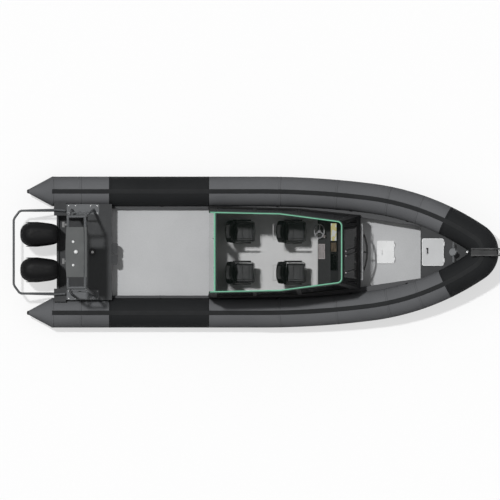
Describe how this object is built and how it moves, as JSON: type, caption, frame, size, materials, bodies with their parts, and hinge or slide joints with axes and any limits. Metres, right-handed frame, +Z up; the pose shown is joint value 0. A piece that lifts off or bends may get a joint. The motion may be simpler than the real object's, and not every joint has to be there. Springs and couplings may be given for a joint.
{
  "type": "rigid inflatable work boat",
  "caption": "Open-sterned inflatable-collar work boat with a glazed cabin, outboard engines that steer and tilt, arch, guard rail and bow roller.",
  "frame": {"origin": "on the waterline, on the centreline, amidships", "axes": "+X to the bow, +Y to port, +Z up"},
  "size_m": [10.792, 3.322, 3.488],
  "materials": {
    "hull_paint": "satin",
    "light_deck": "matt, fine grip",
    "dark_deck": "matt, fine grip",
    "tube_grey": "matt coated fabric",
    "tube_black": "matt coated fabric",
    "tread_strip": "matt, ribbed",
    "cabin_paint": "satin",
    "frame_black": "satin",
    "tinted_glass": "polished, dark tint",
    "clear_glass": "polished, green edge",
    "clear_roof": "polished, green edge",
    "steel": "brushed",
    "console_black": "matt",
    "screen_glass": "gloss",
    "panel_light": "matt",
    "wheel_rim": "satin",
    "seat_metal": "satin",
    "seat_grey": "soft vinyl",
    "seat_black": "soft vinyl",
    "alloy": "satin",
    "arch_grey": "satin",
    "dome_white": "gloss",
    "lamp_grey": "satin",
    "post_grey": "satin",
    "roller_rubber": "matt",
    "hatch_white": "satin",
    "hatch_grey": "satin",
    "engine_grey": "satin",
    "engine_black": "satin",
    "cowl_black": "gloss",
    "propeller_steel": "brushed"
  },
  "bodies": {
    "hull": {"hull": "hull_paint", "hull_bow": "hull_paint", "bow_box": "hull_paint", "main_deck": "light_deck", "aft_deck": "dark_deck", "bow_deck": "dark_deck", "tube_aft": "tube_grey", "tube_wear_band": "tube_black", "tube_fore": "tube_grey", "tube_nose": "tube_black", "tube_crown_strip": "tread_strip", "cabin_sides": "cabin_paint", "cabin_front": "cabin_paint", "cabin_upper": "frame_black", "side_windows": "tinted_glass", "windscreen": "tinted_glass", "cabin_roof": "clear_roof", "aft_bulkhead": "cabin_paint", "aft_windows": "clear_glass", "hinge_pins": "steel", "helm_console": "console_black", "screens": "screen_glass", "helm_controls": "panel_light", "seat_bases": "seat_metal", "seat_cushions": "seat_grey", "seat_backs": "seat_black", "arch_frame": "alloy", "arch_panel": "arch_grey", "antenna_domes": "dome_white", "work_lamps": "lamp_grey", "guard_rail": "alloy", "tow_post": "post_grey", "deck_vents": "dark_deck", "mooring_post": "post_grey", "bow_channel": "alloy", "bow_light": "dome_white", "front_rail": "alloy", "engine_brackets": "engine_grey"},
    "door": {"cabin_door": "cabin_paint", "door_window": "clear_glass", "door_handle": "steel"},
    "fore_hatch": {"fore_hatch_lid": "hatch_white"},
    "bow_hatch": {"bow_hatch_lid": "hatch_grey"},
    "helm_wheel": {"steering_wheel": "wheel_rim"},
    "roller": {"bow_roller": "roller_rubber"},
    "tilt_port": {"swivel_bracket_port": "engine_grey"},
    "engine_port": {"engine_cowl_port": "cowl_black", "engine_leg_port": "engine_black"},
    "screw_port": {"propeller_port": "propeller_steel"},
    "tilt_starboard": {"swivel_bracket_starboard": "engine_grey"},
    "engine_starboard": {"engine_cowl_starboard": "cowl_black", "engine_leg_starboard": "engine_black"},
    "screw_starboard": {"propeller_starboard": "propeller_steel"}
  },
  "joints": [
    {"name": "door_swing", "type": "hinge", "parent": "hull", "child": "door", "pos_m": [-0.931, -0.352, 1], "axis": [0, 0, 1], "range_deg": [0, 100]},
    {"name": "fore_hatch_lift", "type": "hinge", "parent": "hull", "child": "fore_hatch", "pos_m": [3.056, 0, 0.226], "axis": [0, 1, 0], "range_deg": [0, 95]},
    {"name": "bow_hatch_lift", "type": "hinge", "parent": "hull", "child": "bow_hatch", "pos_m": [4.145, 0, 0.776], "axis": [0, 1, 0], "range_deg": [0, 95]},
    {"name": "tilt_port", "type": "hinge", "parent": "hull", "child": "tilt_port", "pos_m": [-4.4, 0.391, 0.35], "axis": [0, 1, 0], "range_deg": [0, 65]},
    {"name": "tilt_starboard", "type": "hinge", "parent": "hull", "child": "tilt_starboard", "pos_m": [-4.4, -0.391, 0.35], "axis": [0, 1, 0], "range_deg": [0, 65]},
    {"name": "steer_port", "type": "hinge", "parent": "tilt_port", "child": "engine_port", "pos_m": [-4.535, 0.391, 0.15], "axis": [0, 0, 1], "range_deg": [-28, 28]},
    {"name": "steer_starboard", "type": "hinge", "parent": "tilt_starboard", "child": "engine_starboard", "pos_m": [-4.535, -0.391, 0.15], "axis": [0, 0, 1], "range_deg": [-28, 28]},
    {"name": "propeller_port_spin", "type": "hinge", "parent": "engine_port", "child": "screw_port", "pos_m": [-4.905, 0.391, -0.605], "axis": [1, 0, 0], "continuous": true},
    {"name": "propeller_starboard_spin", "type": "hinge", "parent": "engine_starboard", "child": "screw_starboard", "pos_m": [-4.905, -0.391, -0.605], "axis": [1, 0, 0], "continuous": true},
    {"name": "wheel_turn", "type": "hinge", "parent": "hull", "child": "helm_wheel", "pos_m": [1.393, 0.46, 1.13], "axis": [-0.7071, 0, 0.7071], "range_deg": [-540, 540]},
    {"name": "bow_roller_spin", "type": "hinge", "parent": "hull", "child": "roller", "pos_m": [5.39, 0, 1.21125], "axis": [0, 1, 0], "continuous": true}
  ],
  "couplings": [
    {"joint": "steer_starboard", "follows": "steer_port", "ratio": 1},
    {"joint": "wheel_turn", "follows": "steer_port", "ratio": -19.285}
  ]
}
